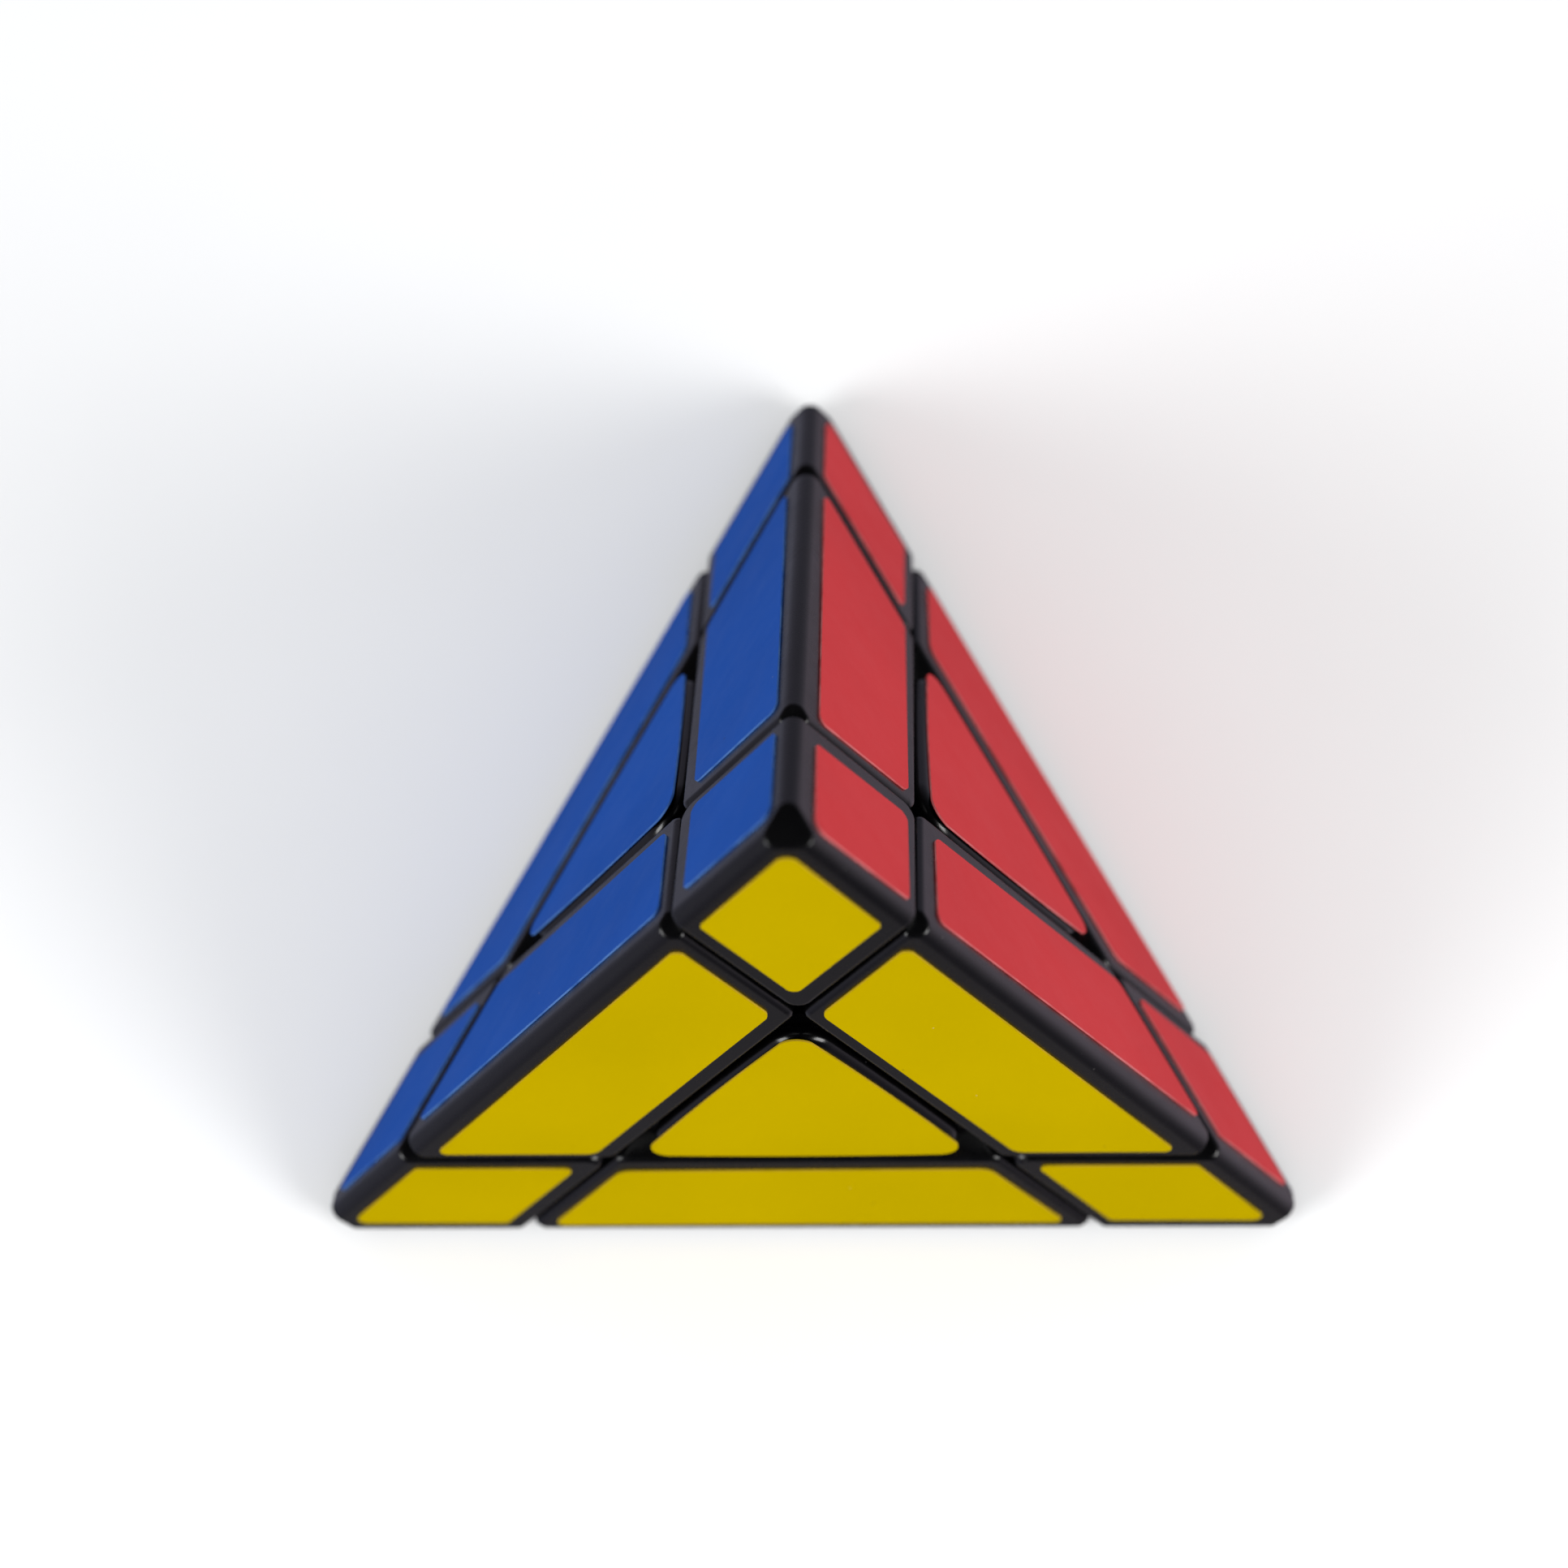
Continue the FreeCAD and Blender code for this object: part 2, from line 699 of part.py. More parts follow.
# ------------------------------------------- screws, washers, springs, core
def turned(tag, profile):
    """A body turned about Z from a half profile of (radius, height) points."""
    body = doc.addObject("PartDesign::Body", tag)
    sketch = polygon_sketch(body, tag + "_profile", "XZ_Plane", [profile])
    turn = body.newObject("PartDesign::Revolution", tag + "_turn")
    turn.Profile = sketch
    turn.ReferenceAxis = (sketch, ["V_Axis"])
    turn.Angle = 360
    body.Tip = turn
    doc.recompute()
    return body


def make_screw(label, rotation):
    tag = "screw_" + label
    shank, head, bevel = dim("screw_rad"), dim("head_rad"), dim("head_bevel")
    tip, seat = dim("screw_tip"), dim("head_seat")
    top = seat + dim("head_tall")
    body = turned(
        tag,
        [
            (ZERO, tip),
            (shank - dim("tip_taper_in"), tip),
            (shank, tip + dim("tip_taper_tall")),
            (shank, seat),
            (head, seat),
            (head, top - bevel),
            (head - bevel, top),
            (ZERO, top),
        ],
    )
    arm, half = dim("slot_long") * 0.5, dim("slot_wide") * 0.5
    cross = [
        (arm, half), (half, half), (half, arm), (-half, arm),
        (-half, half), (-arm, half), (-arm, -half), (-half, -half),
        (-half, -arm), (half, -arm), (half, -half), (arm, -half),
    ]
    sketch = polygon_sketch(body, tag + "_cross", "XY_Plane", [cross])
    sketch.setExpression("AttachmentOffset.Base.z", top.expr)
    doc.recompute()
    recess = body.newObject("PartDesign::Pocket", tag + "_recess")
    recess.Profile = sketch
    bind(recess, Length=dim("slot_deep"))
    body.Tip = recess
    doc.recompute()
    finish(body, f"{label}_tension_screw", rotation)


def make_washer(label, rotation):
    bore, rim = dim("washer_bore"), dim("washer_rad")
    low = dim("washer_seat")
    high = low + dim("washer_thick")
    body = turned("washer_" + label, [(bore, low), (rim, low), (rim, high), (bore, high)])
    finish(body, f"{label}_screw_washer", rotation)


def make_spring(label, rotation):
    """Open coil: a round wire swept along a helix about the stem's axis."""
    tag = "spring_" + label
    coil_rad, wire = dim("coil_rad"), dim("wire_rad")
    low = dim("well_floor") + dim("coil_gap") + wire
    high = dim("washer_seat") - dim("coil_gap") - wire
    body = doc.addObject("PartDesign::Body", tag)
    sketch = new_sketch(body, tag + "_wire", "XZ_Plane")
    sketch.addGeometry(Part.Circle(Vector(coil_rad.val, low.val, 0), UP, wire.val), False)
    hold_point(sketch, 0, 3, "DistanceX", coil_rad)
    hold_point(sketch, 0, 3, "DistanceY", low)
    i = sketch.addConstraint(Sketcher.Constraint("Radius", 0, wire.val))
    sketch.setExpression(f"Constraints[{i}]", wire.expr)
    coil = body.newObject("PartDesign::AdditiveHelix", tag + "_coil")
    coil.Profile = sketch
    coil.ReferenceAxis = (sketch, ["V_Axis"])
    coil.Mode = 0  # pitch and height
    bind(coil, Pitch=dim("coil_pitch"), Height=high - low)
    body.Tip = coil
    doc.recompute()
    finish(body, f"{label}_spring", rotation)


def make_core():
    """Ball with a blind bore toward each face."""
    radius = dim("screw_rad") + dim("screw_fit")
    mouth = dim("ball_rad") + LONG_OVERRUN
    bores = [
        rod("core_bore_" + face, radius, dim("bore_tip"), mouth, normal)
        for face, normal in NORMALS.items()
    ]
    core = cut("core_body", ball("core_round", dim("ball_rad")), fuse("core_bores", *bores))
    finish(core, "core_ball", Rotation())


# -------------------------------------------------------------------- films
# Own frame of a face: origin at its middle, +Z outwards, +Y to one corner.
ROOT3 = math.sqrt(3)
TO_CORNER = dim("edge_len") * (1 / ROOT3)  # middle of a face to its corner
TO_SIDE = dim("edge_len") * (0.5 / ROOT3)  # middle of a face to its side


def turn_point(point, degrees):
    x, y = point
    c, s = math.cos(math.radians(degrees)), math.sin(math.radians(degrees))
    return (x * c - y * s, x * s + y * c)


def corner_outline():
    """Rhombus near the face's +Y corner, from the vertex nearest that corner."""
    near, far = dim("film_rim"), dim("film_inn")
    side_x = (far - near) * (1 / ROOT3)
    side_y = TO_CORNER - near - far
    return [
        (ZERO, TO_CORNER - near * 2.0),
        (-side_x, side_y),
        (ZERO, TO_CORNER - far * 2.0),
        (side_x, side_y),
    ]


def strip_outline():
    """Trapezoid along the face's -Y side, from its two vertices at the rim."""
    low, high = dim("strip_rim"), dim("strip_inn")

    def half_width(from_side):
        return dim("edge_len") * 0.5 - (dim("strip_end") + from_side * 0.5) * (2 / ROOT3)

    return [
        (-half_width(low), low - TO_SIDE),
        (half_width(low), low - TO_SIDE),
        (half_width(high), high - TO_SIDE),
        (-half_width(high), high - TO_SIDE),
    ]


# spot on a face: outline, turn about the face's middle
SPOTS = {
    "tip_corner": (corner_outline, 0),
    "left_corner": (corner_outline, 120),
    "right_corner": (corner_outline, 240),
    "base_edge": (strip_outline, 0),
    "first_edge": (strip_outline, 120),
    "second_edge": (strip_outline, 240),
}

# part of a face's films: spots that it covers
BASE_FACE_FILMS = {
    "corner_films": ["tip_corner", "left_corner", "right_corner"],
    "edge_films": ["base_edge", "first_edge", "second_edge"],
}
SIDE_FACE_FILMS = {
    "tip_corner_film": ["tip_corner"],
    "base_corner_films": ["left_corner", "right_corner"],
    "base_edge_film": ["base_edge"],
    "upper_edge_films": ["first_edge", "second_edge"],
}


def laid_outline(face, spot):
    """A film's outline, shifted and turned about its middle as it was laid."""
    outline, degrees = SPOTS[spot]
    points = [turn_point(point, degrees) for point in outline()]
    if face not in LAID:
        return points
    mid_x = sum((x for x, _ in points), ZERO) * (1 / len(points))
    mid_y = sum((y for _, y in points), ZERO) * (1 / len(points))
    across, up = dim(f"{face}_{spot}_across"), dim(f"{face}_{spot}_up")
    twist = LAID[face][spot][2]
    laid = []
    for x, y in points:
        off_x, off_y = turn_point((x - mid_x, y - mid_y), twist)
        laid.append((off_x + mid_x + across, off_y + mid_y + up))
    return laid


def make_films(label, face, rotation, spots):
    """Films of one part: one padded sketch, upright edges rounded by class."""
    tag = "film_" + label
    loops = [laid_outline(face, spot) for spot in spots]
    body = doc.addObject("PartDesign::Body", tag)
    sketch = polygon_sketch(body, tag + "_outline", "XY_Plane", loops)
    pad = body.newObject("PartDesign::Pad", tag + "_pad")
    pad.Profile = sketch
    bind(pad, Length=dim("film"))
    body.Tip = pad
    doc.recompute()
    # the first vertices of each outline are the ones by the tip or the rim
    if SPOTS[spots[0]][0] is corner_outline:
        outer_count, outer_alias, inner_alias = 1, "rad_film_tip", "rad_film_side"
    else:
        outer_count, outer_alias, inner_alias = 2, "rad_strip_out", "rad_strip_inn"
    classes = (
        (outer_alias, [point for loop in loops for point in loop[:outer_count]]),
        (inner_alias, [point for loop in loops for point in loop[outer_count:]]),
    )
    for alias, points in classes:
        places = [Vector(x.val, y.val, 0) for x, y in points]

        def pick(edge):
            if not is_vertical(edge):
                return False
            end = edge.Vertexes[0].Point
            foot = Vector(end.x, end.y, 0)
            return any((foot - place).Length < 1e-3 for place in places)

        round_edges(body, f"{tag}_{alias}", alias, pick)
    finish(body, label, rotation, (NORMALS[face], SKIN))


def make_centre_film(face, rotation):
    """Bowed triangle of film on a centre cap."""
    tag = "film_centre_" + face
    bow = dim("bow_rad")
    discs = []
    for k in range(3):
        disc = add("Cylinder", f"{tag}_bow{k}", Radius=bow, Height=dim("film"))
        angle = math.radians(270 + 120 * k)
        outward = Vector(math.cos(angle), math.sin(angle), 0)
        bind_base(disc, (outward, TO_SIDE - dim("tri_inn") - bow))
        discs.append(disc)
    body = body_on(tag, common(tag + "_raw", *discs))
    round_edges(body, tag + "_rounds", "rad_tri", is_vertical)
    steps = [(NORMALS[face], SKIN)]
    if face in LAID:
        steps.append((rotation.multVec(X_AXIS), dim(face + "_centre_across")))
        steps.append((rotation.multVec(Y_AXIS), dim(face + "_centre_up")))
        rotation = rotation.multiply(Rotation(UP, LAID[face]["centre"][2]))
    finish(body, face + "_centre_film", rotation, *steps)


# ---------------------------------------------------------------- assembly
# corner: the face opposite it
CORNERS = {"top": "green", "left": "red", "right": "blue", "rear": "yellow"}
# edge: the two faces that meet there
EDGES = {
    "front": ("yellow", "green"),
    "base_left": ("blue", "green"),
    "base_right": ("red", "green"),
    "left": ("yellow", "blue"),
    "right": ("yellow", "red"),
    "rear": ("blue", "red"),
}

make_core()

face_names = list(NORMALS)
for index, face in enumerate(face_names):
    neighbour = face_names[(index + 1) % 4]
    rotation = frame(NORMALS[face], NORMALS[neighbour])
    make_screw(face, rotation)
    make_washer(face, rotation)
    make_spring(face, rotation)
    make_centre(face, rotation)

for name, opposite in CORNERS.items():
    beside = "green" if opposite == "yellow" else "yellow"
    make_corner(name, frame(-NORMALS[opposite], NORMALS[beside]))

for name, (first_face, second_face) in EDGES.items():
    outward = NORMALS[first_face] + NORMALS[second_face]
    make_edge(name, frame(outward, NORMALS[first_face]))

# The films' frame has the top corner on +Y, or on the base face the rear corner.
for face, normal in NORMALS.items():
    on_base = face == "green"
    rotation = frame(normal, -NORMALS["yellow" if on_base else "green"])
    groups = BASE_FACE_FILMS if on_base else SIDE_FACE_FILMS
    for group, spots in groups.items():
        make_films(f"{face}_{group}", face, rotation, spots)
    make_centre_film(face, rotation)

# ------------------------------------------------------------ check and save
doc.recompute()
bad = [obj.Name for obj in doc.Objects if "Invalid" in obj.State or "Error" in obj.State]
if bad:
    raise RuntimeError("failed objects: " + ", ".join(bad))

os.makedirs("parts", exist_ok=True)
for old in os.listdir("parts"):
    if old.endswith(".step"):
        os.remove(os.path.join("parts", old))
for part in parts:
    shape = part.Shape
    if shape.isNull() or not shape.isValid() or not shape.Solids:
        raise RuntimeError("bad shape: " + part.Label)
    shape.exportStep(os.path.join("parts", part.Label + ".step"))
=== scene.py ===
"""A four-sided pyramid puzzle: black plastic pieces with coloured vinyl films.

It stands on its green face, with the point up (+Z) and the floor at z = 0. The
yellow face looks forward (-Y), blue back and left (-X), red back and right (+X).
The origin lies on the floor under the core. All lengths are in metres.
"""
import math

import bpy
from mathutils import Matrix, Vector

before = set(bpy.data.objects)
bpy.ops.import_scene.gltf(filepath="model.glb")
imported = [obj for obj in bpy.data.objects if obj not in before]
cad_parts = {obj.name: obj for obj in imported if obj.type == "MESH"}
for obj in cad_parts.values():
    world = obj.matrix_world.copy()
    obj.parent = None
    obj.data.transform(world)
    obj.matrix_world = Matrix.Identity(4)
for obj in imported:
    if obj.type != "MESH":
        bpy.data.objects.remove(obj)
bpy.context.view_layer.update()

EDGE = 0.098  # edge of the pyramid over the films
RIM = EDGE / (2.0 * math.sqrt(6.0))  # core centre to the outside of the films
WHITE = (1, 1, 1, 1)


def linear(rgb):
    """sRGB 0-255 to scene-linear, with alpha 1."""
    channels = []
    for value in rgb:
        value = value / 255.0
        channels.append(value / 12.92 if value <= 0.04045 else ((value + 0.055) / 1.055) ** 2.4)
    return (*channels, 1.0)


def darker(rgb, share):
    return tuple(int(value * share) for value in rgb)


# ------------------------------------------------------------- node helpers
class Nodes:
    """Adds nodes to a tree. An input takes either a plain value or a socket to link."""

    def __init__(self, owner):
        owner.use_nodes = True
        self.tree = owner.node_tree
        self.tree.nodes.clear()

    def fill(self, node, inputs):
        for key, value in inputs.items():
            if isinstance(value, bpy.types.NodeSocket):
                self.tree.links.new(value, node.inputs[key])
            else:
                node.inputs[key].default_value = value

    def add(self, kind, inputs=None, **settings):
        node = self.tree.nodes.new(kind)
        for key, value in settings.items():
            setattr(node, key, value)
        self.fill(node, inputs or {})
        return node

    def math(self, operation, *values, clamp=False):
        inputs = dict(enumerate(values))
        return self.add("ShaderNodeMath", inputs, operation=operation, use_clamp=clamp).outputs[0]

    def dot(self, first, second):
        inputs = {0: first, 1: second}
        return self.add("ShaderNodeVectorMath", inputs, operation="DOT_PRODUCT").outputs["Value"]

    def mix_shader(self, factor, first, second):
        return self.add("ShaderNodeMixShader", {0: factor, 1: first, 2: second}).outputs[0]


class Material(Nodes):
    """A material around one Principled shader, textured in object coordinates."""

    def __init__(self, name):
        self.material = bpy.data.materials.new(name)
        super().__init__(self.material)
        self.output = self.add("ShaderNodeOutputMaterial")
        self.bsdf = self.add("ShaderNodeBsdfPrincipled")
        self.coord = self.add("ShaderNodeTexCoord")
        self.place = self.coord.outputs["Object"]

    def finish(self, inputs, shader=None):
        """Fill the Principled shader and show it, or the given shader, on the surface."""
        self.fill(self.bsdf, inputs)
        self.fill(self.output, {"Surface": shader or self.bsdf.outputs["BSDF"]})
        return self.material

    def noise(self, scale, detail, roughness=0.5, vector=None):
        inputs = {
            "Vector": vector or self.place,
            "Scale": scale,
            "Detail": detail,
            "Roughness": roughness,
        }
        return self.add("ShaderNodeTexNoise", inputs).outputs["Fac"]

    def remap(self, value, span, to=(0.0, 1.0)):
        inputs = {
            "Value": value,
            "From Min": span[0],
            "From Max": span[1],
            "To Min": to[0],
            "To Max": to[1],
        }
        return self.add("ShaderNodeMapRange", inputs).outputs[0]

    def mix(self, factor, first, second):
        """Mix two colours; the numbers are the colour sockets of the Mix node."""
        inputs = {0: factor, 6: first, 7: second}
        return self.add("ShaderNodeMix", inputs, data_type="RGBA").outputs[2]

    def specks(self, scale, size, skip, strength):
        """Sparse soft dots of the given strength; skip is the share of cells left empty."""
        cells = self.add(
            "ShaderNodeTexVoronoi", {"Vector": self.place, "Scale": scale}, feature="F1"
        )
        dot = self.remap(cells.outputs["Distance"], span=(size * 0.6, size), to=(1.0, 0.0))
        chance = self.add("ShaderNodeSeparateColor", {"Color": cells.outputs["Color"]}).outputs[0]
        picked = self.math("GREATER_THAN", chance, skip)
        return self.math("MULTIPLY", self.math("MULTIPLY", dot, picked), strength)

    def bump(self, height, strength, distance, below=None):
        """A bump, laid over the one below if there is one."""
        inputs = {"Height": height, "Strength": strength, "Distance": distance}
        if below is not None:
            inputs["Normal"] = below
        return self.add("ShaderNodeBump", inputs).outputs["Normal"]


# ---------------------------------------------------------------- materials
def plastic(name, base, sheen, rough, grain=3.5e-6):
    """Moulded plastic: cloudy tone and gloss, fine grain, a little dust.

    rough is the roughness range, grain the height of the finest texture.
    """
    mat = Material(name)
    broad = mat.noise(scale=60, detail=3, roughness=0.55)
    middle = mat.noise(scale=420, detail=4, roughness=0.6)
    fine = mat.noise(scale=9000, detail=2, roughness=0.6)
    tone = mat.mix(mat.remap(broad, span=(0.35, 0.65)), base, sheen)
    dust = mat.specks(scale=900, size=0.10, skip=0.93, strength=0.25)
    color = mat.mix(dust, tone, linear((120, 118, 116)))
    gloss = mat.remap(middle, span=(0.3, 0.7), to=rough)
    smear = mat.remap(broad, span=(0.4, 0.7), to=(0.0, 0.06))
    roughness = mat.math("ADD", gloss, smear, clamp=True)
    grain_bump = mat.bump(fine, strength=0.55, distance=grain)
    return mat.finish({
        "Base Color": color,
        "Roughness": roughness,
        "Normal": mat.bump(middle, strength=0.25, distance=0.00002, below=grain_bump),
        "Specular IOR Level": 0.5,
        "IOR": 1.5,
    })


def film(name, normal, main, deep, edge_highlight_rgb, specular):
    """Thin coloured vinyl: even colour, faint orange peel, a few specks, a painted
    highlight along the cut edge and painted shade low on the edge wall."""
    mat = Material(name)
    broad = mat.noise(scale=45, detail=2)
    peel = mat.noise(scale=650, detail=2)
    fine = mat.noise(scale=6000, detail=2)

    tone = mat.mix(mat.remap(broad, span=(0.35, 0.65)), linear(main), linear(deep))
    dark = mat.specks(scale=330, size=0.05, skip=0.90, strength=0.55)
    color = mat.mix(dark, tone, linear((45, 40, 38)))
    light = mat.specks(scale=520, size=0.045, skip=0.93, strength=0.35)
    color = mat.mix(light, color, linear((225, 222, 215)))

    # painted highlight: a pale edge colour where the surface turns away from the face normal, on
    # the rounded cut edge
    facing = mat.dot(mat.coord.outputs["Normal"], normal)
    # painted shade: the edge wall is coloured darker from a little below the outer plane
    # of the film; the core centre is RIM above the origin, so the plane's distance depends on the
    # face
    outward = mat.dot(mat.place, normal)
    depth = mat.math("SUBTRACT", RIM * (1.0 + normal[2]), outward)
    wall_shade_mask = mat.remap(depth, span=(0.00014, 0.00019))
    edge_highlight_mask = mat.remap(facing, span=(0.98, 0.85))
    # random patches make the painted edge highlight uneven
    patches = mat.noise(scale=240, detail=3, roughness=0.6)
    highlight_breakup = mat.remap(patches, span=(0.35, 0.6), to=(0.35, 1.0))
    # painted highlight: the pale edge colour is mixed in along the cut edge
    color = mat.mix(mat.math("MULTIPLY", edge_highlight_mask, highlight_breakup), color, linear(edge_highlight_rgb))
    # painted shade: a darker film colour at the foot of the edge wall
    color = mat.mix(wall_shade_mask, color, linear(darker(main, 0.75)))

    smudges = mat.noise(scale=160, detail=4, roughness=0.6)
    roughness = mat.remap(smudges, span=(0.3, 0.7), to=(0.32, 0.42))
    peel_bump = mat.bump(peel, strength=0.18, distance=0.00003)
    return mat.finish({
        "Base Color": color,
        "Roughness": roughness,
        "Normal": mat.bump(fine, strength=0.30, distance=1.5e-6, below=peel_bump),
        "Specular IOR Level": specular,
    })


def metal(name, rgb, rough):
    """Bare metal with streaks drawn out along Z."""
    mat = Material(name)
    stretch = mat.add("ShaderNodeMapping", {"Vector": mat.place, "Scale": (900, 900, 60)})
    streaks = mat.noise(scale=4.0, detail=4.0, vector=stretch.outputs["Vector"])
    shade = mat.remap(streaks, span=(0.3, 0.7))
    color = mat.mix(shade, linear(rgb), linear(darker(rgb, 0.82)))
    return mat.finish({
        "Base Color": color,
        "Metallic": 1.0,
        "Roughness": mat.remap(streaks, span=(0.3, 0.7), to=rough),
        "Normal": mat.bump(streaks, strength=0.3, distance=0.00001),
    })


def pale_floor():
    """Matt off-white that fades, for the camera only, into the white behind it."""
    mat = Material("pale_floor")
    clouds = mat.remap(mat.noise(scale=14, detail=4), span=(0.3, 0.7))
    color = mat.mix(clouds, (0.94, 0.94, 0.94, 1), (0.97, 0.97, 0.97, 1))
    normal = mat.bump(mat.noise(scale=1500, detail=2), strength=0.1, distance=0.00002)
    reach = mat.add("ShaderNodeVectorMath", {0: mat.place}, operation="LENGTH")
    fade = mat.remap(reach.outputs["Value"], span=(0.28, 0.80))
    rays = mat.add("ShaderNodeLightPath")
    share = mat.math("MULTIPLY", fade, rays.outputs["Is Camera Ray"], clamp=True)
    glow = mat.add("ShaderNodeEmission", {"Color": WHITE})
    inputs = {
        "Base Color": color,
        "Roughness": 0.8,
        "Specular IOR Level": 0.2,
        "Normal": normal,
    }
    return mat.finish(inputs, mat.mix_shader(share, mat.bsdf.outputs["BSDF"], glow.outputs[0]))


BLACK = plastic(
    "satin_black_plastic",
    base=(0.0004, 0.0004, 0.0006, 1.0),
    sheen=(0.0009, 0.0008, 0.0011, 1.0),
    rough=(0.21, 0.28),
)
CAP = plastic(
    "polished_black_plastic",
    base=(0.0004, 0.0004, 0.0006, 1.0),
    sheen=(0.0008, 0.0007, 0.0010, 1.0),
    rough=(0.16, 0.24),
)
CORE = plastic(
    "core_grey_plastic",
    base=(0.030, 0.030, 0.033, 1.0),
    sheen=(0.040, 0.040, 0.043, 1.0),
    rough=(0.42, 0.55),
    grain=6e-6,
)
STEEL = metal("zinc_plated_steel", rgb=(190, 190, 188), rough=(0.22, 0.38))
WIRE = metal("spring_wire", rgb=(170, 170, 172), rough=(0.18, 0.30))

# outward normals of the pyramid's faces, named by their film
FACE_NORMALS = {
    "green": (0.0, 0.0, -1.0),
    "yellow": (0.0, -math.sqrt(8) / 3, 1 / 3),
    "blue": (-math.sqrt(2 / 3), math.sqrt(2) / 3, 1 / 3),
    "red": (math.sqrt(2 / 3), math.sqrt(2) / 3, 1 / 3),
}
# film, main sRGB, deeper sRGB, painted edge highlight sRGB, specular level
FILM_LOOKS = (
    ("yellow", (178, 153, 0), (173, 149, 0), (204, 168, 50), 0.0),
    ("red", (200, 53, 57), (194, 50, 54), (228, 134, 136), 0.04),
    ("blue", (16, 75, 164), (14, 71, 157), (96, 138, 205), 0.02),
    ("green", (0, 132, 66), (0, 126, 62), (90, 180, 130), 0.04),
)
FILMS = {
    hue: film(f"{hue}_film", FACE_NORMALS[hue], main, deep, edge_highlight_rgb, specular)
    for hue, main, deep, edge_highlight_rgb, specular in FILM_LOOKS
}


# ------------------------------------------------------------------- pieces
def material_for(name):
    if "film" in name:
        return FILMS[name.split("_")[0]]
    if "screw_washer" in name or "tension_screw" in name:
        return STEEL
    if name.endswith("_spring"):
        return WIRE
    if name == "core_ball":
        return CORE
    if name.endswith("_centre_cap"):
        return CAP
    return BLACK


def paint(obj, material):
    """Set the material on the object's own slots, since meshes may be shared."""
    if not obj.data.materials:
        obj.data.materials.append(material)
    for slot in obj.material_slots:
        slot.link = "OBJECT"
        slot.material = material


def round_cut_edge(obj):
    bevel = obj.modifiers.new("cut_edge", "BEVEL")
    bevel.width = 0.00007
    bevel.segments = 2
    bevel.limit_method = "ANGLE"
    bevel.angle_limit = math.radians(50)
    bevel.harden_normals = False


for name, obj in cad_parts.items():
    paint(obj, material_for(name))
    if "film" in name:
        round_cut_edge(obj)


def add_object(name, data):
    obj = bpy.data.objects.new(name, data)
    bpy.context.scene.collection.objects.link(obj)
    return obj


# -------------------------------------------------------------------- floor
FLOOR_HALF = 1.6
FLOOR_DROP = 0.0002  # gap between the puzzle and the floor

floor_mesh = bpy.data.meshes.new("floor")
corners = [
    (x * FLOOR_HALF, y * FLOOR_HALF, 0) for x, y in ((-1, -1), (1, -1), (1, 1), (-1, 1))
]
floor_mesh.from_pydata(corners, [], [(0, 1, 2, 3)])
floor = add_object("floor", floor_mesh)
floor.location.z = -FLOOR_DROP
floor_mesh.materials.append(pale_floor())
floor.visible_glossy = False

# ------------------------------------------------------------------- camera
# It looks down from above; these are its own axes in the scene.
CAMERA_PLACE = (0.00949650382668997, -0.04702754869125052, 0.39318203326392237)
CAMERA_RIGHT = Vector((0.999517092628825, -0.0008104479095077193, -0.03106323738773552))
CAMERA_UP = Vector((0.005677007958855045, 0.9875979334049925, 0.15690154082998414))
CAMERA_BACK = Vector((0.030550828523232095, -0.15700211816524662, 0.9871256160024267))
FOCUS_DISTANCE = 0.353

camera_data = bpy.data.cameras.new("camera")
camera_data.sensor_width = 36.0
camera_data.lens = 93.91
camera_data.clip_start = 0.01
camera = add_object("camera", camera_data)
camera.location = CAMERA_PLACE
camera.rotation_mode = "QUATERNION"
axes = Matrix((CAMERA_RIGHT, CAMERA_UP, CAMERA_BACK)).transposed()
camera.rotation_quaternion = axes.to_quaternion()
bpy.context.scene.camera = camera

focus = add_object("focus_mark", None)
focus.location = camera.location - CAMERA_BACK * FOCUS_DISTANCE
camera_data.dof.use_dof = True
camera_data.dof.focus_object = focus
camera_data.dof.aperture_fstop = 14.2

# ------------------------------------------------------------------- lights
LIGHT_TARGET = Vector((0.0, 0.0, 0.025))
LIGHT_SIZE = 0.40


def soft_light(name, side, power, color):
    """A square light in front of the puzzle; side is -1 for left, 1 for right."""
    data = bpy.data.lights.new(name, "AREA")
    data.shape = "RECTANGLE"
    data.size = LIGHT_SIZE
    data.size_y = LIGHT_SIZE
    data.energy = power
    data.color = color
    place = (side * 0.66, -0.33, 0.48)
    light = add_object(name, data)
    light.location = place
    aim = LIGHT_TARGET - Vector(place)
    light.rotation_euler = aim.to_track_quat("-Z", "Y").to_euler()


soft_light("soft_left", side=-1, power=3.8, color=(0.98, 0.99, 1.0))
soft_light("soft_right", side=1, power=4.2, color=(1.0, 0.995, 0.985))

# -------------------------------------------------------------------- world
# The sky lights the puzzle evenly and is plain white behind it. In reflections
# it is a dim room, brighter low down and to the right and dark overhead, where
# the camera is: a sum of broad lobes.
LOBE_WIDTH = 6.0  # higher is narrower
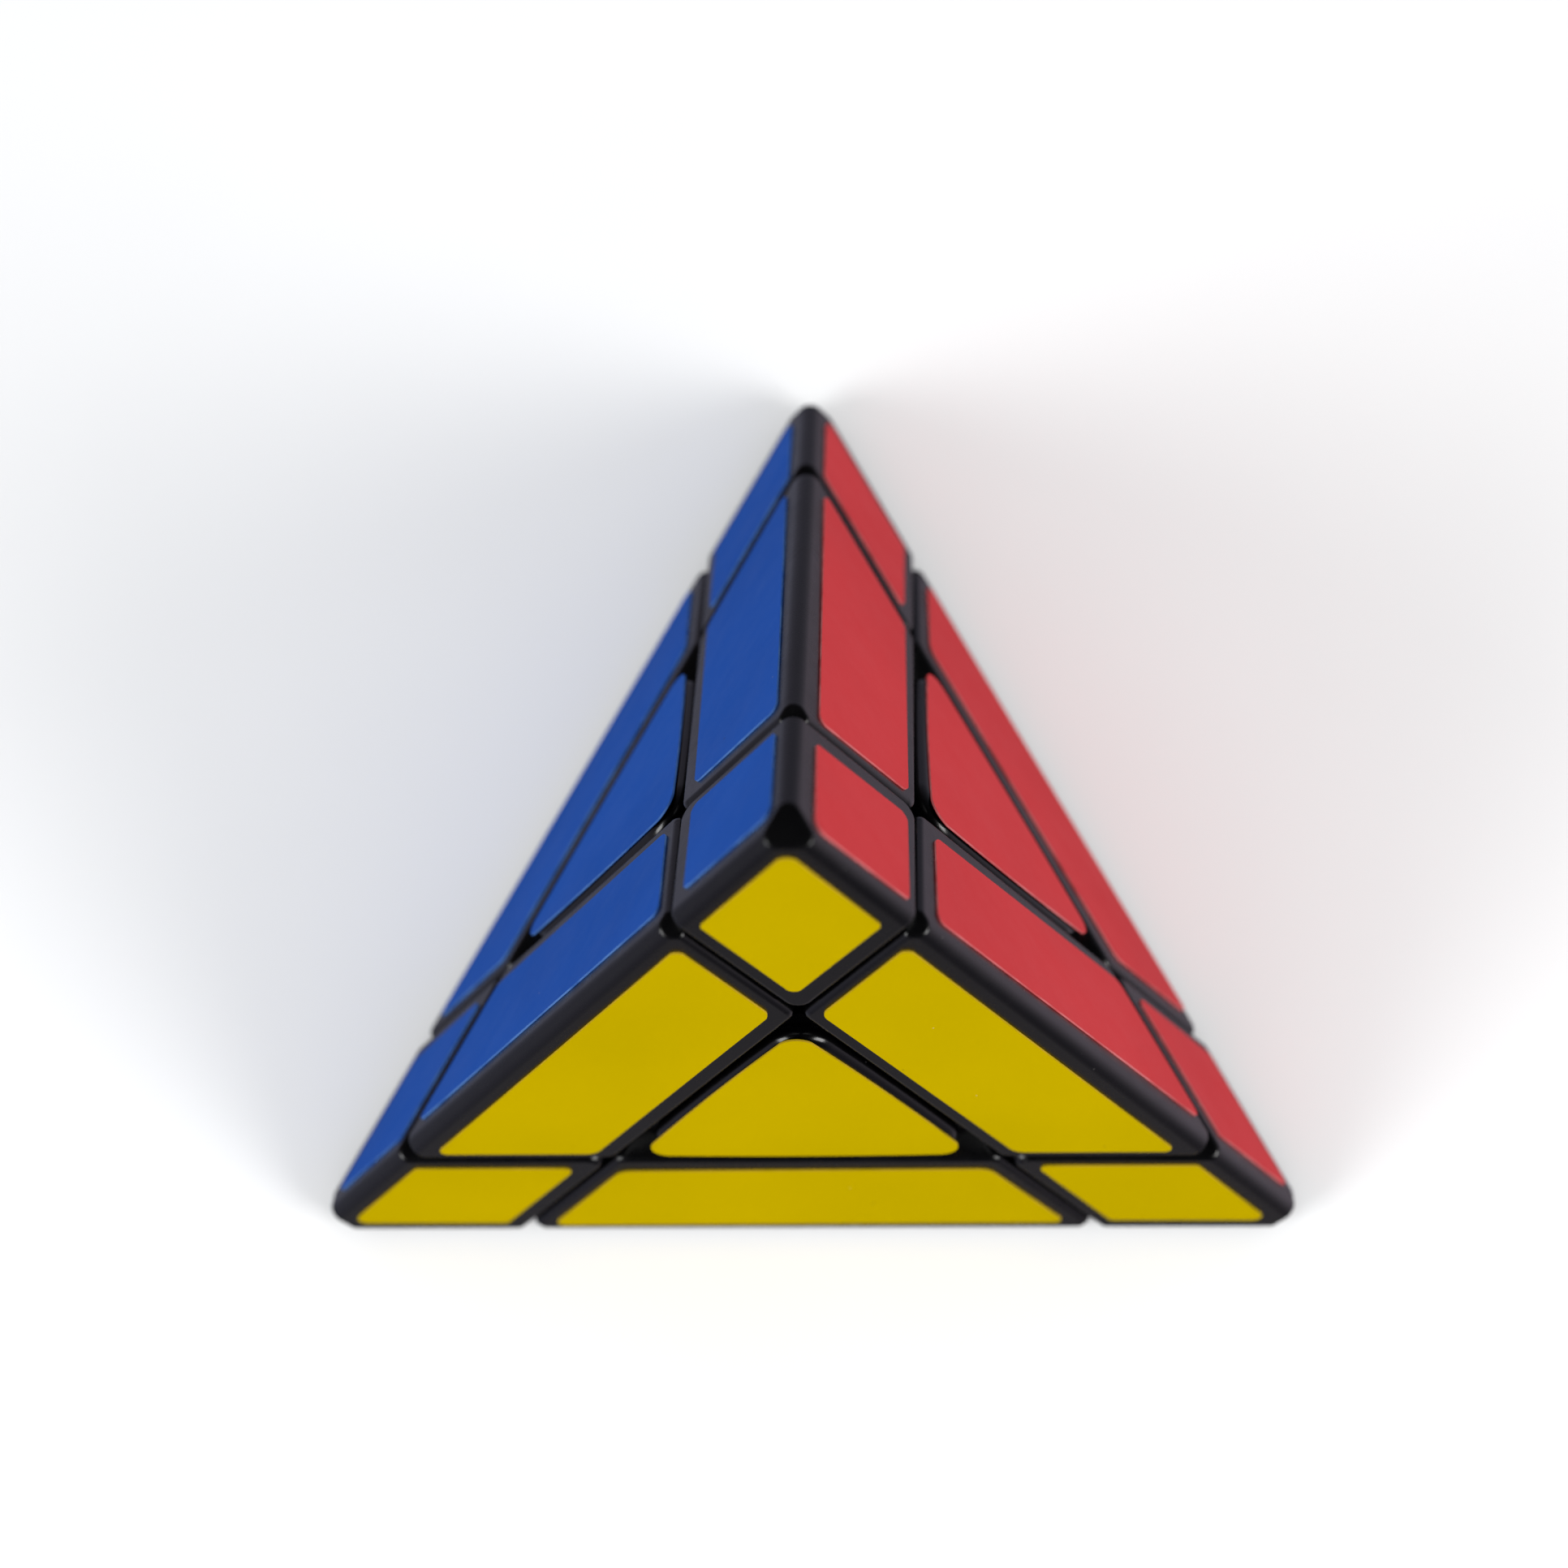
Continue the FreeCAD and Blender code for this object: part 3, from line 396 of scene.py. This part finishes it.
# direction x, y, z, then linear red, green, blue
SOFT_LOBES = (
    (0.256, 0.000, 0.967, 0.0033, 0.0034, 0.0050),
    (-0.321, 0.294, 0.900, 0.0020, 0.0022, 0.0036),
    (0.048, -0.551, 0.833, 0.0018, 0.0018, 0.0024),
    (0.391, 0.510, 0.767, 0.0017, 0.0018, 0.0026),
    (-0.703, -0.124, 0.700, 0.0024, 0.0021, 0.0027),
    (0.653, -0.415, 0.633, 0.0016, 0.0017, 0.0020),
    (-0.214, 0.796, 0.567, 0.0016, 0.0014, 0.0018),
    (-0.399, -0.769, 0.500, 0.0170, 0.0158, 0.0180),
    (0.847, 0.309, 0.433, 0.0497, 0.0465, 0.0523),
    (-0.860, 0.355, 0.367, 0.0111, 0.0086, 0.0074),
    (0.404, -0.864, 0.300, 0.0000, 0.0078, 0.0124),
    (0.291, 0.928, 0.233, 0.0421, 0.0440, 0.0534),
    (-0.853, -0.494, 0.167, 0.1849, 0.1689, 0.1835),
    (0.972, -0.214, 0.100, 0.1275, 0.1237, 0.1358),
    (-0.575, 0.818, 0.033, 0.0207, 0.0056, 0.0000),
    (0.761, 0.641, -0.100, 0.1250, 0.1318, 0.1617),
    (-0.985, 0.041, -0.167, 0.0825, 0.0726, 0.0856),
    (0.689, -0.686, -0.233, 0.0000, 0.0047, 0.0156),
    (-0.044, 0.953, -0.300, 0.0711, 0.0658, 0.0897),
    (-0.596, -0.714, -0.367, 0.0847, 0.0769, 0.1175),
    (0.893, 0.120, -0.433, 0.4849, 0.4131, 0.5001),
    (-0.711, 0.495, -0.500, 0.0494, 0.0404, 0.0591),
    (0.181, -0.804, -0.567, 0.0172, 0.0138, 0.0240),
    (-0.680, -0.217, -0.700, 0.1378, 0.1620, 0.2333),
    (0.583, -0.269, -0.767, 0.2170, 0.1907, 0.2142),
    (-0.213, 0.510, -0.833, 0.1347, 0.1452, 0.1890),
    (-0.148, -0.410, -0.900, 0.0959, 0.0937, 0.0644),
    (0.227, 0.119, -0.967, 0.0332, 0.0068, 0.0099),
)

world = bpy.data.worlds.new("studio")
bpy.context.scene.world = world
sky = Nodes(world)


def background(color, strength):
    inputs = {"Color": color, "Strength": strength}
    return sky.add("ShaderNodeBackground", inputs).outputs[0]


def lobe_sum():
    """Each lobe is its colour times exp(width * (cosine - 1))."""
    incoming = sky.add("ShaderNodeNewGeometry").outputs["Incoming"]
    total = None
    for x, y, z, *color in SOFT_LOBES:
        cosine = sky.dot(incoming, (-x, -y, -z))
        falloff = sky.math("MULTIPLY_ADD", cosine, LOBE_WIDTH, -LOBE_WIDTH)
        bell = sky.math("EXPONENT", falloff)
        inputs = {0: color, "Scale": bell}
        lobe = sky.add("ShaderNodeVectorMath", inputs, operation="SCALE").outputs[0]
        if total is None:
            total = lobe
        else:
            inputs = {0: total, 1: lobe}
            total = sky.add("ShaderNodeVectorMath", inputs, operation="ADD").outputs[0]
    return total


sky_output = sky.add("ShaderNodeOutputWorld")
even = background((0.97, 0.98, 1.0, 1), strength=0.62)
room = background(lobe_sum(), strength=1.0)
rays = sky.add("ShaderNodeLightPath").outputs
indirect = sky.mix_shader(rays["Is Glossy Ray"], even, room)
backdrop = background(WHITE, strength=1.0)
sky.fill(sky_output, {0: sky.mix_shader(rays["Is Camera Ray"], indirect, backdrop)})

view = bpy.context.scene.view_settings
view.view_transform = "Standard"
view.look = "None"
view.exposure = 0.0

# ------------------------------------------------------------------- finish
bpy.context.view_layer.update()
